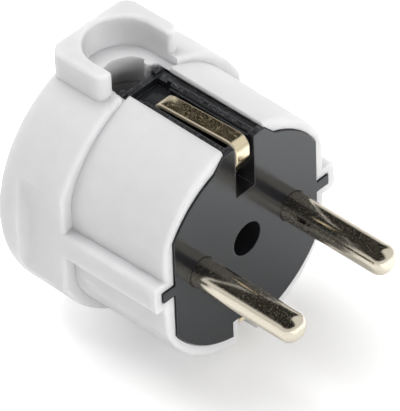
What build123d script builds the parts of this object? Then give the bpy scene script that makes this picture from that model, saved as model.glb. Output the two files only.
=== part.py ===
from build123d import *
import math
import os

# Angled two-pin plug with earth contacts, for a cord that the user wires in.
# The origin is the centre of the carrier's front face. +Y runs back into the hood, so
# the pins point along -Y, and +Z is the side where the cord enters. All sizes are in mm.

# Pins, as the plug standard gives them
PIN_DIAMETER = 4.8
PIN_SPACING = 19.0
PIN_LENGTH = 19.2
PIN_TIP_RADIUS = 1.9

# Contact carrier, the dark insert
CARRIER_RADIUS = 17.2
FLAT_MARGIN = 1.8
PLATE_THICKNESS = 3.0
SKIRT_WALL = 1.4
SKIRT_END = 14.0

# Raised lug on top of the carrier, with the two guide ribs of the earth contact
LUG_BASE_HALF = 6.2
LUG_TOP_HALF = 4.2
LUG_RISE = 1.0
LUG_PLATE_DEPTH = 1.2
SHELF_RISE = 0.2
SHELF_TOP_HALF = 4.6
SHELF_THICKNESS = 3.0
GUIDE_RIB_INNER = 2.35
GUIDE_RIB_WIDTH = 1.15
GUIDE_RIB_RISE = 0.85
GUIDE_RIB_OVERRUN = 0.3
GUIDE_RIB_ROUND = 0.4
CHANNEL_DEPTH = 1.3
POCKET_DEPTH = 1.4
POCKET_LENGTH = 3.0
REAR_RIM_WIDTH = 1.0
REAR_RIM_DROP = 0.2
REAR_CORNER_HALF = 2.9

# Front slot for the folded end of the earth strip, and the notch below
FRONT_SLOT_HALF = 1.95
FRONT_SLOT_LENGTH = 8.4
FRONT_SLOT_DEPTH = 2.4
FRONT_POCKET_DEPTH = 4.6
FRONT_POCKET_WALL = 1.2
NOTCH_HALF = 3.4
NOTCH_HEIGHT = 3.2

# Keys at the sides of the carrier
KEY_REACH = 2.5
KEY_THICKNESS = 1.7
KEY_DEPTH = 5.0

# Hood, the white shell
FIT = 0.2
HOOD_WALL = 2.05
SIDE_WALL = 1.6
BODY_SHIFT = 1.9
BODY_CORNER = 8.0
HOOD_FRONT = 0.25
STEP_Y = 18.4
BACK_WALL = 2.2
BODY_DRAFT = 0.3
FLANGE_STEP = 1.25
FLANGE_ROUND = 0.6
BACK_ROUND = 3.5
RECESS_STEP = 2.25
RECESS_END = 26.0
RECESS_END_RADIUS = 27.0
RECESS_ROUND = 1.2
FRONT_ROUND = 0.6
SIDE_RIB_HALF = 2.3
SIDE_RIB_ROUND = 0.6
SIDE_RIB_LEAN = 0.05
TOP_SLOT_HALF = 4.2
BOTTOM_SLOT_HALF = 2.05
BOTTOM_SLOT_GAP = 0.5
SEAT_RIB_HEIGHT = 1.3
SEAT_RIB_WIDTH = 1.6
SEAT_RIB_ANGLES = (38.0, 142.0, 218.0, 322.0)

# Collar round the cord entry, open towards the front
COLLAR_SIDE_WALL = 2.35
COLLAR_BACK_WALL = 1.25
COLLAR_SETBACK = 1.6
COLLAR_RISE = 3.0
COLLAR_FRONT_ROUND = 1.6
CHANNEL_FRONT_ROUND = 0.6
COLLAR_BACK_ROUND = 2.4
COLLAR_EDGE = 0.6
COLLAR_ROOT = 4.0
CHANNEL_RADIUS = 5.75
CHANNEL_OFFSET = 1.3
CHANNEL_FLOOR_WALL = 0.8
ENTRY_RADIUS = 4.1
ENTRY_GUIDE_WALL = 1.3
ENTRY_GUIDE_GAP = 0.3
ENTRY_SETBACK = 1.5
GRIP_RIB_RADIUS = 0.8
GRIP_RIB_LENGTH = 2.6

# Pin retention and terminals
BOSS_WALL = 1.2
BOSS_END = 9.0
PIN_BORE_GAP = 0.1
STEM_RELIEF = 0.2
SHOULDER_WIDTH = 1.0
SHOULDER_START = 6.0
SHOULDER_LENGTH = 1.5
RING_THICKNESS = 0.6
RING_WIDTH = 0.5
BLOCK_SIZE = 7.0
BLOCK_LENGTH = 9.3
BLOCK_GAP = 0.2
BLOCK_EDGE = 0.5
WIRE_HOLE_RADIUS = 1.7
WIRE_HOLE_FROM_BACK = 4.6

# Terminal, clamp and housing screws
SCREW_RADIUS = 1.75
THREAD_GAP = 0.05
TERMINAL_HEAD_RADIUS = 2.75
TERMINAL_HEAD_HEIGHT = 2.0
TERMINAL_HEAD_LIFT = 0.6
TERMINAL_SCREW_LENGTH = 3.4
SLOT_WIDTH = 0.8
SLOT_DEPTH = 1.0
HEAD_EDGE = 0.25
SCREW_POINT = 0.3

# Central housing screw and the bush that it runs into
SCREW_HOLE_RADIUS = 2.8
COLUMN_WALL = 1.2
COLUMN_END = 15.6
COLUMN_FLOOR = 3.0
SHANK_GAP = 0.2
HOUSING_HEAD_RADIUS = 2.5
HOUSING_HEAD_HEIGHT = 2.2
HOUSING_SCREW_LENGTH = 14.0
WASHER_RADIUS = 2.55
WASHER_THICKNESS = 0.5
BUSH_WALL = 1.05
BUSH_LENGTH = 8.0
BUSH_INSET = 0.5
HOOD_BOSS_WALL = 1.4
HOOD_BOSS_GAP = 0.1

# Earth strip: one bent strip of brass, from the top contact round to the bottom one
STRIP_THICKNESS = 0.8
STRIP_HALF = 1.42
TOP_LEG_REAR_LIFT = 0.7
TOP_LEG_FRONT_LIFT = 1.45
FOLD_RADIUS = 1.5
FOLD_FRONT_Y = 0.2
FRONT_LEG_END_Y = 3.5
FRONT_LEG_GAP = 0.9
REAR_BEND_RADIUS = 1.2
BOTTOM_LEG_RISE = 0.1
BOTTOM_TOE_Y = 3.2
BOTTOM_TOE_END_Y = 0.9
BOTTOM_TOE_LIFT = 1.7
TOE_BEND_RADIUS = 1.0
BRIDGE_HALF = 3.9
BRIDGE_MARGIN = 0.8
BRIDGE_REACH_DOWN = 5.2
BRIDGE_CORNER = 1.2

# Earth terminal on the strip's bridge
EARTH_BLOCK_WIDTH = 7.0
EARTH_BLOCK_HEIGHT = 6.0
EARTH_BLOCK_DEPTH = 6.0
EARTH_BLOCK_GAP = 0.6

# Cord clamp and its screws
CLAMP_WIDTH = 4.0
CLAMP_LIFT = 0.4
CLAMP_SCREW_GAP = 0.1
CLAMP_FOOT_END = 2.3
CLAMP_FOOT = 1.8
CLAMP_WALL = 1.5
CLAMP_SEAT_OFFSET = 0.5
CLAMP_ARCH_GAP = 0.1
CLAMP_BACK_GAP = 1.25
CLAMP_BOSS_WALL = 1.0
CLAMP_SCREW_RADIUS = 1.4
CLAMP_HEAD_RADIUS = 2.2
CLAMP_HEAD_HEIGHT = 1.6
CLAMP_SCREW_LENGTH = 9.0

# Pins and their seats
PIN_X = PIN_SPACING / 2
PIN_RADIUS = PIN_DIAMETER / 2
STEM_RADIUS = PIN_RADIUS - STEM_RELIEF
SHOULDER_RADIUS = PIN_RADIUS + SHOULDER_WIDTH
RING_RADIUS = SHOULDER_RADIUS + RING_WIDTH
BOSS_RADIUS = RING_RADIUS + PIN_BORE_GAP + BOSS_WALL
RING_START = SHOULDER_START + SHOULDER_LENGTH
BLOCK_START = BOSS_END + BLOCK_GAP
BLOCK_END = BLOCK_START + BLOCK_LENGTH

# Housing screw's column, the strip's bridge behind it, and the hood's boss behind that
COLUMN_RADIUS = SCREW_HOLE_RADIUS + COLUMN_WALL
COLUMN_SEAT = COLUMN_END - COLUMN_FLOOR
PLATE_BACK = COLUMN_END + STRIP_THICKNESS
BUSH_RADIUS = SCREW_RADIUS + BUSH_WALL
HOOD_BOSS_RADIUS = BUSH_RADIUS + HOOD_BOSS_WALL
HOOD_BOSS_START = PLATE_BACK + HOOD_BOSS_GAP
BUSH_START = HOOD_BOSS_START + BUSH_INSET
EARTH_BLOCK_Z = HOOD_BOSS_RADIUS + EARTH_BLOCK_GAP + EARTH_BLOCK_HEIGHT / 2
BRIDGE_REACH_UP = EARTH_BLOCK_Z + EARTH_BLOCK_HEIGHT / 2 + BRIDGE_MARGIN

# Carrier and its lug, with the strip that lies in it
STRIP_GAP = 2 * FIT
WELL_GAP = 3 * FIT
CARRIER_FLAT = PIN_X + BLOCK_SIZE / 2 + FLAT_MARGIN
LUG_PLATE_TOP = CARRIER_RADIUS + LUG_RISE
SHELF_TOP = CARRIER_RADIUS + SHELF_RISE
GUIDE_RIB_TOP = CARRIER_RADIUS + GUIDE_RIB_RISE
GUIDE_RIB_END = PLATE_BACK + GUIDE_RIB_OVERRUN
SHELF_END = PLATE_BACK + WELL_GAP + POCKET_LENGTH + REAR_RIM_WIDTH
CHANNEL_FLOOR_Z = SHELF_TOP - CHANNEL_DEPTH
FRONT_SLOT_FLOOR = SHELF_TOP - FRONT_SLOT_LENGTH
FRONT_POCKET_ROOF = SHELF_TOP - SHELF_THICKNESS
NOTCH_ROOF = CARRIER_RADIUS - NOTCH_HEIGHT
TOP_LEG_REAR_Z = CHANNEL_FLOOR_Z + TOP_LEG_REAR_LIFT + STRIP_THICKNESS / 2
TOP_LEG_FRONT_Z = CHANNEL_FLOOR_Z + TOP_LEG_FRONT_LIFT + STRIP_THICKNESS / 2
FRONT_LEG_END_Z = FRONT_SLOT_FLOOR + FRONT_LEG_GAP
BOTTOM_LEG_Z = CARRIER_RADIUS + BOTTOM_LEG_RISE
BOTTOM_TOE_END_Z = BOTTOM_LEG_Z - BOTTOM_TOE_LIFT

# Cord entry and the clamp under it
ENTRY_CENTRE_Y = SHELF_END + ENTRY_SETBACK
CLAMP_Z = EARTH_BLOCK_Z + EARTH_BLOCK_HEIGHT / 2 + CLAMP_LIFT
CLAMP_ARCH_RADIUS = ENTRY_RADIUS + CLAMP_ARCH_GAP
CLAMP_SCREW_X = CLAMP_ARCH_RADIUS + CLAMP_WALL + CLAMP_SCREW_GAP + CLAMP_HEAD_RADIUS
CLAMP_HALF = CLAMP_SCREW_X + CLAMP_FOOT_END
CLAMP_BOSS_RADIUS = CLAMP_SCREW_RADIUS + CLAMP_BOSS_WALL
CLAMP_SEAT_Y = ENTRY_CENTRE_Y - CLAMP_SEAT_OFFSET
CLAMP_ARCH_TOP_Y = ENTRY_CENTRE_Y + ENTRY_RADIUS

# Hood, from the carrier and the clamp that it closes over
ENTRY_GUIDE_FOOT = CLAMP_Z + CLAMP_WIDTH / 2 + ENTRY_GUIDE_GAP
CAVITY_RADIUS = CARRIER_RADIUS + FIT
CAVITY_FLAT = CARRIER_FLAT + FIT
CAVITY_END = CLAMP_ARCH_TOP_Y + CLAMP_WALL + CLAMP_BACK_GAP
SEAT_Y = SKIRT_END + HOOD_BOSS_GAP
BODY_RADIUS = CAVITY_RADIUS + HOOD_WALL - BODY_SHIFT
BODY_FLAT = CAVITY_FLAT + SIDE_WALL
BACK_Y = CAVITY_END + BACK_WALL
FLANGE_RADIUS = CAVITY_RADIUS + HOOD_WALL + FLANGE_STEP
RECESS_FLAT = BODY_FLAT + RECESS_STEP
BOTTOM_SLOT_END = PLATE_BACK + BOTTOM_SLOT_GAP
CHANNEL_CENTRE_Y = ENTRY_CENTRE_Y + CHANNEL_OFFSET
CHANNEL_FLOOR = CAVITY_RADIUS + CHANNEL_FLOOR_WALL
COLLAR_HALF = CHANNEL_RADIUS + COLLAR_SIDE_WALL
COLLAR_FRONT = STEP_Y + COLLAR_SETBACK
COLLAR_BACK = CHANNEL_CENTRE_Y + CHANNEL_RADIUS + COLLAR_BACK_WALL
COLLAR_TOP = FLANGE_RADIUS + COLLAR_RISE

# How far a cut or a joined piece runs past the face that it starts from
OVER = 1.0
FAR = 60.0


def across(shape, y_from, y_to):
    """A flat shape drawn in X and Z, made solid from y_from back to y_to."""
    face = Pos(0, y_from, 0) * (Plane.XZ * shape)
    return extrude(face, amount=y_to - y_from, dir=(0, 1, 0))


def upright(shape, z_from, z_to):
    """A flat shape drawn in X and Y, made solid from z_from up to z_to."""
    return extrude(Pos(0, 0, z_from) * shape, amount=z_to - z_from)


def block(x_from, x_to, y_from, y_to, z_from, z_to):
    """A plain box between six planes."""
    centre = Pos((x_from + x_to) / 2, (y_from + y_to) / 2, (z_from + z_to) / 2)
    return centre * Box(x_to - x_from, y_to - y_from, z_to - z_from)


def rod(radius, y_from, y_to, x=0.0, z=0.0):
    """A round bar that runs along Y."""
    return across(Pos(x, z) * Circle(radius), y_from, y_to)


def flatted(radius, flat):
    """A circle with a flat on its left and right."""
    return Circle(radius) & Rectangle(2 * flat, 2 * radius)


def polygon(*points):
    """A closed outline with straight sides."""
    return make_face(Polyline(*points, close=True))


def mirrored(points):
    """Points of a right half, from the bottom up, with their mirror image."""
    return [*points, *[(-x, y) for x, y in reversed(points)]]


def slotted_screw(head_radius, head_height, radius, length):
    """A slotted screw with its head's underside at Y = 0 and its shank along -Y."""
    shank = rod(radius, -length, 0)
    shank = chamfer(shank.edges().sort_by(Axis.Y)[:1], SCREW_POINT)
    head = rod(head_radius, 0, head_height)
    head = fillet(head.edges().sort_by(Axis.Y)[-1:], HEAD_EDGE)
    screw = head + shank
    half = SLOT_WIDTH / 2
    return screw - block(-FAR, FAR, head_height - SLOT_DEPTH, FAR, -half, half)


def lug_outline(growth=0.0):
    """The lug's section: sides that lean in, from inside the carrier's round to its top."""
    base_z = math.sqrt(CARRIER_RADIUS**2 - LUG_BASE_HALF**2)
    right = [
        (LUG_BASE_HALF + growth, SHELF_TOP - SHELF_THICKNESS),
        (LUG_BASE_HALF + growth, base_z),
        (LUG_TOP_HALF + growth, LUG_PLATE_TOP),
    ]
    return polygon(*mirrored(right))


def shelf_outline():
    """The lug's section behind the face plate, a little lower than the plate."""
    base_z = math.sqrt(CARRIER_RADIUS**2 - LUG_BASE_HALF**2)
    right = [
        (LUG_BASE_HALF, SHELF_TOP - SHELF_THICKNESS),
        (LUG_BASE_HALF, base_z),
        (SHELF_TOP_HALF, SHELF_TOP),
    ]
    return polygon(*mirrored(right))


def make_carrier():
    """The dark insert: face plate, skirt, pin bosses, screw column, lug and keys."""
    outline = flatted(CARRIER_RADIUS, CARRIER_FLAT)
    inner = flatted(CARRIER_RADIUS - SKIRT_WALL, CARRIER_FLAT - SKIRT_WALL)
    carrier = across(outline, 0, SKIRT_END) - across(inner, PLATE_THICKNESS, SKIRT_END)

    # Lug: the plate's raised top, and the shelf that runs back under the strip
    carrier += across(lug_outline(), 0, LUG_PLATE_DEPTH)
    carrier += across(shelf_outline(), 0, SHELF_END)
    rib_outer = GUIDE_RIB_INNER + GUIDE_RIB_WIDTH
    rib_middle = GUIDE_RIB_INNER + GUIDE_RIB_WIDTH / 2
    for side in (-1, 1):
        plan = Pos(side * rib_middle, (LUG_PLATE_DEPTH + GUIDE_RIB_END) / 2) * SlotOverall(
            GUIDE_RIB_END + LUG_PLATE_DEPTH, GUIDE_RIB_WIDTH, rotation=90
        )
        rib = upright(plan, SHELF_TOP - SHELF_THICKNESS, GUIDE_RIB_TOP)
        rib = fillet(rib.faces().sort_by(Axis.Z)[-1].edges(), GUIDE_RIB_ROUND)
        carrier += rib & block(-FAR, FAR, 0, FAR, 0, FAR)
        corner = sorted((side * REAR_CORNER_HALF, side * LUG_TOP_HALF))
        carrier += block(
            *corner, SHELF_END - REAR_RIM_WIDTH, SHELF_END, CHANNEL_FLOOR_Z, GUIDE_RIB_TOP
        )

    # Bosses that hold the pins, the screw's column and the bosses for the cord clamp
    for side in (-1, 1):
        pin_boss = rod(BOSS_RADIUS, PLATE_THICKNESS / 2, BOSS_END, side * PIN_X)
        carrier += pin_boss & across(outline, 0, BOSS_END)
        clamp_boss = rod(
            CLAMP_BOSS_RADIUS, PLATE_THICKNESS / 2, CLAMP_SEAT_Y, side * CLAMP_SCREW_X, CLAMP_Z
        )
        carrier += clamp_boss
    carrier += rod(COLUMN_RADIUS, PLATE_THICKNESS / 2, COLUMN_END)

    # Notch below, with walls of its own and the rib that backs the lower contact
    notch_wall = NOTCH_HALF + SKIRT_WALL
    carrier += across(outline, 0, SKIRT_END) & block(
        -notch_wall, notch_wall, 0, SKIRT_END, -FAR, -NOTCH_ROOF + SKIRT_WALL
    )
    carrier -= block(-NOTCH_HALF, NOTCH_HALF, -OVER, SKIRT_END + OVER, -FAR, -NOTCH_ROOF)
    prop_half = STRIP_HALF - STRIP_GAP
    prop_foot = BOTTOM_LEG_Z - STRIP_THICKNESS / 2 - FIT
    prop_start = BOTTOM_TOE_Y + TOE_BEND_RADIUS
    carrier += block(
        -prop_half, prop_half, prop_start, SKIRT_END, -prop_foot, -NOTCH_ROOF + SKIRT_WALL
    )

    # Channel of the top contact, the pocket behind it and the way down for the strip
    channel_half = GUIDE_RIB_INNER - FIT
    carrier -= block(
        -channel_half, channel_half, LUG_PLATE_DEPTH, GUIDE_RIB_END, CHANNEL_FLOOR_Z, FAR
    )
    pocket_floor = SHELF_TOP - POCKET_DEPTH
    carrier -= block(
        -REAR_CORNER_HALF, REAR_CORNER_HALF,
        GUIDE_RIB_END, SHELF_END - REAR_RIM_WIDTH, pocket_floor, FAR,
    )
    carrier -= block(
        -REAR_CORNER_HALF, REAR_CORNER_HALF,
        SHELF_END - REAR_RIM_WIDTH, SHELF_END + OVER, SHELF_TOP - REAR_RIM_DROP, FAR,
    )
    well_half = STRIP_HALF + STRIP_GAP
    carrier -= block(
        -well_half, well_half, COLUMN_END - WELL_GAP, PLATE_BACK + WELL_GAP, 0, FAR
    )
    carrier += rod(COLUMN_RADIUS, COLUMN_END - OVER, COLUMN_END)

    # Front slot for the strip's folded end, with a walled pocket that its leg leans back into
    wall = FRONT_SLOT_HALF + FRONT_POCKET_WALL
    carrier += block(
        -wall, wall, PLATE_THICKNESS / 2, FRONT_POCKET_DEPTH + FRONT_POCKET_WALL,
        FRONT_SLOT_FLOOR - FRONT_POCKET_WALL, FRONT_POCKET_ROOF + OVER,
    )
    carrier -= block(
        -FRONT_SLOT_HALF, FRONT_SLOT_HALF, -OVER, FRONT_SLOT_DEPTH, FRONT_SLOT_FLOOR, FAR
    )
    carrier -= block(
        -FRONT_SLOT_HALF, FRONT_SLOT_HALF,
        0, FRONT_POCKET_DEPTH, FRONT_SLOT_FLOOR, FRONT_POCKET_ROOF,
    )

    # Keys at the sides
    for side in (-1, 1):
        reach = sorted((side * (CARRIER_FLAT - SKIRT_WALL / 2), side * (CARRIER_FLAT + KEY_REACH)))
        carrier += block(*reach, 0, KEY_DEPTH, -KEY_THICKNESS / 2, KEY_THICKNESS / 2)

    # Holes for the pins, their shoulders and lock rings, and for the housing screw
    for side in (-1, 1):
        x = side * PIN_X
        carrier -= rod(PIN_RADIUS + PIN_BORE_GAP, -OVER, BOSS_END + OVER, x)
        carrier -= rod(RING_RADIUS + PIN_BORE_GAP, SHOULDER_START, BOSS_END + OVER, x)
        clamp_hole = CLAMP_SEAT_Y - CLAMP_SCREW_LENGTH - CLAMP_FOOT
        carrier -= rod(
            CLAMP_SCREW_RADIUS + THREAD_GAP, clamp_hole, CLAMP_SEAT_Y + OVER,
            side * CLAMP_SCREW_X, CLAMP_Z,
        )
    carrier -= rod(SCREW_HOLE_RADIUS, -OVER, COLUMN_SEAT)
    carrier -= rod(SCREW_RADIUS + SHANK_GAP, COLUMN_SEAT - OVER, COLUMN_END + OVER)
    return carrier


def body_outline(growth=0.0):
    """The body's section: a round that is a little taller than wide, with flat sides."""
    radius = BODY_RADIUS + growth
    tall = SlotCenterToCenter(2 * BODY_SHIFT, 2 * radius, rotation=90)
    outline = tall & Rectangle(2 * (BODY_FLAT + growth), FAR)
    return fillet(outline.vertices(), BODY_CORNER)


def recess():
    """What is cut away for the finger recess at the flange's right, rounded at its foot."""
    length = RECESS_END + RECESS_END_RADIUS / 2
    side = Pos(length / 2, 0) * Rectangle(length, 2 * FLANGE_RADIUS)
    side -= Pos(RECESS_END + RECESS_END_RADIUS, 0) * Circle(RECESS_END_RADIUS)
    depth = FLANGE_RADIUS - RECESS_FLAT + RECESS_ROUND
    cut = extrude(Pos(RECESS_FLAT, 0, 0) * (Plane.YZ * side), amount=depth)
    foot = cut.edges().group_by(Axis.X)[0].sort_by(Axis.Y)[-1]
    return fillet(foot, RECESS_ROUND)


def channel_outline(front):
    """The collar's channel from above: round at the back, straight and open to the front."""
    length = CHANNEL_CENTRE_Y - front
    straight = Pos(0, front + length / 2) * Rectangle(2 * CHANNEL_RADIUS, length)
    return straight + Pos(0, CHANNEL_CENTRE_Y) * Circle(CHANNEL_RADIUS)


def make_hood():
    """The white shell: body, flange, side ribs and collar, all one moulding."""
    front = Pos(0, HOOD_FRONT, 0) * (Plane.XZ * body_outline())
    rear = Pos(0, STEP_Y + OVER, 0) * (Plane.XZ * body_outline(BODY_DRAFT))
    body = loft([*front.faces(), *rear.faces()], ruled=True)
    body = fillet(body.faces().sort_by(Axis.Y)[0].edges(), FRONT_ROUND)

    # The flange is round, with a flat finger recess on each side that ends before the back
    flange = across(Circle(FLANGE_RADIUS), STEP_Y, BACK_Y)
    flange = fillet(flange.faces().sort_by(Axis.Y)[-1].edges(), BACK_ROUND)
    flange -= recess() + mirror(recess(), Plane.YZ)
    flange = fillet(flange.faces().sort_by(Axis.Y)[0].edges(), FLANGE_ROUND)

    # Side ribs run flush into the finger recesses and lean in a little to the front
    rib_plan = polygon(
        (CAVITY_FLAT, HOOD_FRONT),
        (RECESS_FLAT - SIDE_RIB_LEAN, HOOD_FRONT),
        (RECESS_FLAT, STEP_Y + OVER),
        (CAVITY_FLAT, STEP_Y + OVER),
    )
    rib = upright(rib_plan, -SIDE_RIB_HALF, SIDE_RIB_HALF)
    outer = rib.faces().sort_by(Axis.X)[-1]
    rib = fillet(outer.edges().filter_by(Axis.Z, reverse=True), SIDE_RIB_ROUND)
    hood = flange + body + rib + mirror(rib, Plane.YZ)

    # Collar round the cord entry, with its top edges rounded
    middle_y = (COLLAR_FRONT + COLLAR_BACK) / 2
    plan = Pos(0, middle_y) * Rectangle(2 * COLLAR_HALF, COLLAR_BACK - COLLAR_FRONT)
    plan = fillet(plan.vertices().group_by(Axis.Y)[-1], COLLAR_BACK_ROUND)
    root = upright(plan, CHANNEL_FLOOR - COLLAR_ROOT, CHANNEL_FLOOR)
    plan -= channel_outline(COLLAR_FRONT - OVER)
    ends = plan.vertices().group_by(Axis.Y)[0].sort_by(Axis.X)
    plan = fillet([ends[0], ends[-1]], COLLAR_FRONT_ROUND)
    ends = plan.vertices().group_by(Axis.Y)[0].sort_by(lambda corner: abs(corner.X))
    plan = fillet(ends[:2], CHANNEL_FRONT_ROUND)
    collar = upright(plan, CHANNEL_FLOOR - COLLAR_ROOT, COLLAR_TOP)
    collar = fillet(collar.faces().sort_by(Axis.Z)[-1].edges(), COLLAR_EDGE)
    hood += root + collar

    # Channel of the collar, cord entry, and the way for the lug
    channel = upright(channel_outline(STEP_Y), CHANNEL_FLOOR, FAR)
    hood -= channel
    hood -= across(flatted(CAVITY_RADIUS, CAVITY_FLAT), -OVER, CAVITY_END)

    # Guide that carries the entry's wall down to the clamp
    guide_half = ENTRY_RADIUS + ENTRY_GUIDE_WALL
    hood += block(
        -guide_half, guide_half, ENTRY_CENTRE_Y, CAVITY_END + OVER,
        ENTRY_GUIDE_FOOT, CAVITY_RADIUS + CHANNEL_FLOOR_WALL / 2,
    )
    hood -= Pos(0, ENTRY_CENTRE_Y, 0) * upright(Circle(ENTRY_RADIUS), 0, FAR)
    hood -= across(lug_outline(FIT), -OVER, SHELF_END + FIT)
    hood -= block(-TOP_SLOT_HALF, TOP_SLOT_HALF, -OVER, ENTRY_CENTRE_Y, 0, FAR)

    # Slot for the lower contact, between two guide ribs that sit in the carrier's notch
    for side in (-1, 1):
        guide = sorted((side * BOTTOM_SLOT_HALF, side * (NOTCH_HALF - FIT)))
        hood += block(
            *guide, HOOD_FRONT, BOTTOM_SLOT_END, -CAVITY_RADIUS - FIT, -NOTCH_ROOF - FIT
        )
    hood -= block(-BOTTOM_SLOT_HALF, BOTTOM_SLOT_HALF, -OVER, BOTTOM_SLOT_END, -FAR, 0)

    # Slots in the side ribs for the carrier's keys
    slot_half = KEY_THICKNESS / 2 + FIT
    slot_reach = CARRIER_FLAT + KEY_REACH + FIT
    hood -= block(-slot_reach, slot_reach, -OVER, KEY_DEPTH + FIT, -slot_half, slot_half)

    # Ribs that the carrier's skirt seats on, and the boss round the threaded bush
    for angle in SEAT_RIB_ANGLES:
        reach = Pos(CAVITY_RADIUS, 0) * Rectangle(2 * SEAT_RIB_HEIGHT, SEAT_RIB_WIDTH)
        seat = across(Rot(0, 0, angle) * reach, SEAT_Y, CAVITY_END + OVER)
        hood += seat & across(body_outline(), 0, BACK_Y)
    hood += rod(HOOD_BOSS_RADIUS, HOOD_BOSS_START, CAVITY_END + OVER)
    hood -= rod(SCREW_RADIUS + SHANK_GAP, HOOD_BOSS_START - OVER, CAVITY_END)
    hood -= rod(BUSH_RADIUS, BUSH_START, BUSH_START + BUSH_LENGTH)

    # Half-round rib on the entry's wall
    grip = Pos(ENTRY_RADIUS, ENTRY_CENTRE_Y) * Circle(GRIP_RIB_RADIUS)
    return hood + upright(grip, CHANNEL_FLOOR - GRIP_RIB_LENGTH, CHANNEL_FLOOR)


def make_pin(side):
    """A contact pin: domed rod, stem, shoulder, and the square block that clamps the wire."""
    pin = rod(PIN_RADIUS, -PIN_LENGTH, 0)
    pin = fillet(pin.edges().sort_by(Axis.Y)[:1], PIN_TIP_RADIUS)
    pin += rod(STEM_RADIUS, 0, BLOCK_START + OVER)
    pin += rod(SHOULDER_RADIUS, SHOULDER_START, RING_START)
    head = across(
        RectangleRounded(BLOCK_SIZE, BLOCK_SIZE, BLOCK_EDGE), BLOCK_START, BLOCK_END
    )
    pin += head
    hole_y = BLOCK_END - WIRE_HOLE_FROM_BACK
    pin -= Pos(0, hole_y, 0) * upright(Circle(WIRE_HOLE_RADIUS), -FAR, FAR)
    pin -= rod(SCREW_RADIUS + THREAD_GAP, hole_y, BLOCK_END + OVER)
    return Pos(side * PIN_X, 0, 0) * pin


def make_lock_ring(side):
    """The pressed ring behind a pin's shoulder, which keeps the pin in its boss."""
    ring = Circle(RING_RADIUS) - Circle(STEM_RADIUS + THREAD_GAP)
    return Pos(side * PIN_X, 0, 0) * across(ring, RING_START, RING_START + RING_THICKNESS)


def terminal_screw(x, block_end, z=0.0):
    """A terminal screw, part way in, so that a wire would still go under its end."""
    screw = slotted_screw(
        TERMINAL_HEAD_RADIUS, TERMINAL_HEAD_HEIGHT, SCREW_RADIUS, TERMINAL_SCREW_LENGTH
    )
    return Pos(x, block_end + TERMINAL_HEAD_LIFT, z) * screw


def strip_route():
    """The strip's middle line, as points in Y and Z with a bend radius at each corner."""
    half = STRIP_THICKNESS / 2
    plate_y = COLUMN_END + half
    return [
        ((FRONT_LEG_END_Y, FRONT_LEG_END_Z), None),
        ((FOLD_FRONT_Y + half, TOP_LEG_FRONT_Z - 2 * FOLD_RADIUS), FOLD_RADIUS),
        ((FOLD_FRONT_Y + half, TOP_LEG_FRONT_Z), FOLD_RADIUS),
        ((plate_y, TOP_LEG_REAR_Z), REAR_BEND_RADIUS),
        ((plate_y, -BOTTOM_LEG_Z), REAR_BEND_RADIUS),
        ((BOTTOM_TOE_Y, -BOTTOM_LEG_Z), TOE_BEND_RADIUS),
        ((BOTTOM_TOE_END_Y, -BOTTOM_TOE_END_Z), None),
    ]


def make_earth_strip():
    """The bent brass strip: both earth contacts, and the bridge that carries the terminal."""
    route = strip_route()
    points = [point for point, _ in route]
    radii = [radius for _, radius in route[1:-1]]
    line = FilletPolyline(*points, radius=radii)
    profile = make_face(offset(line, STRIP_THICKNESS / 2, side=Side.BOTH))
    strip = extrude(Plane.YZ * profile, amount=STRIP_HALF, both=True)
    bridge = Pos(0, (BRIDGE_REACH_UP - BRIDGE_REACH_DOWN) / 2) * RectangleRounded(
        2 * BRIDGE_HALF, BRIDGE_REACH_UP + BRIDGE_REACH_DOWN, BRIDGE_CORNER
    )
    strip += across(bridge, COLUMN_END, PLATE_BACK)
    return strip - rod(SCREW_RADIUS + SHANK_GAP, 0, FAR)


def make_earth_terminal():
    """The brass block that is staked on the strip's bridge and clamps the earth wire."""
    shape = RectangleRounded(EARTH_BLOCK_WIDTH, EARTH_BLOCK_HEIGHT, BLOCK_EDGE)
    end = PLATE_BACK + EARTH_BLOCK_DEPTH
    body = across(Pos(0, EARTH_BLOCK_Z) * shape, PLATE_BACK, end)
    hole_y = PLATE_BACK + EARTH_BLOCK_DEPTH / 2
    hole = extrude(
        Pos(0, hole_y, EARTH_BLOCK_Z) * (Plane.YZ * Circle(WIRE_HOLE_RADIUS)), amount=FAR, both=True
    )
    thread = rod(SCREW_RADIUS + THREAD_GAP, hole_y, end + OVER, 0, EARTH_BLOCK_Z)
    return body - hole - thread


def make_clamp():
    """The bridge that holds the cord's sheath against the carrier, with a foot each side."""
    crown = Pos(0, CLAMP_ARCH_TOP_Y - CLAMP_ARCH_RADIUS)
    outer_radius = CLAMP_ARCH_RADIUS + CLAMP_WALL
    foot_middle = CLAMP_SEAT_Y + CLAMP_FOOT / 2
    foot = Pos(0, foot_middle) * Rectangle(2 * CLAMP_HALF, CLAMP_FOOT)
    outer = crown * Circle(outer_radius) + foot
    span = Pos(0, CLAMP_SEAT_Y) * Rectangle(2 * CLAMP_ARCH_RADIUS, 2 * CLAMP_FOOT)
    plan = outer - crown * Circle(CLAMP_ARCH_RADIUS) - span
    plan &= Pos(0, CLAMP_SEAT_Y + FAR / 2) * Rectangle(FAR, FAR)
    clamp = upright(plan, CLAMP_Z - CLAMP_WIDTH / 2, CLAMP_Z + CLAMP_WIDTH / 2)
    for side in (-1, 1):
        clamp -= rod(
            CLAMP_SCREW_RADIUS + SHANK_GAP, 0, FAR, side * CLAMP_SCREW_X, CLAMP_Z
        )
    return clamp


def clamp_screw(side):
    """A screw that holds one foot of the cord clamp to its boss on the carrier."""
    screw = slotted_screw(
        CLAMP_HEAD_RADIUS, CLAMP_HEAD_HEIGHT, CLAMP_SCREW_RADIUS, CLAMP_SCREW_LENGTH
    )
    return Pos(side * CLAMP_SCREW_X, CLAMP_SEAT_Y + CLAMP_FOOT, CLAMP_Z) * screw


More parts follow.
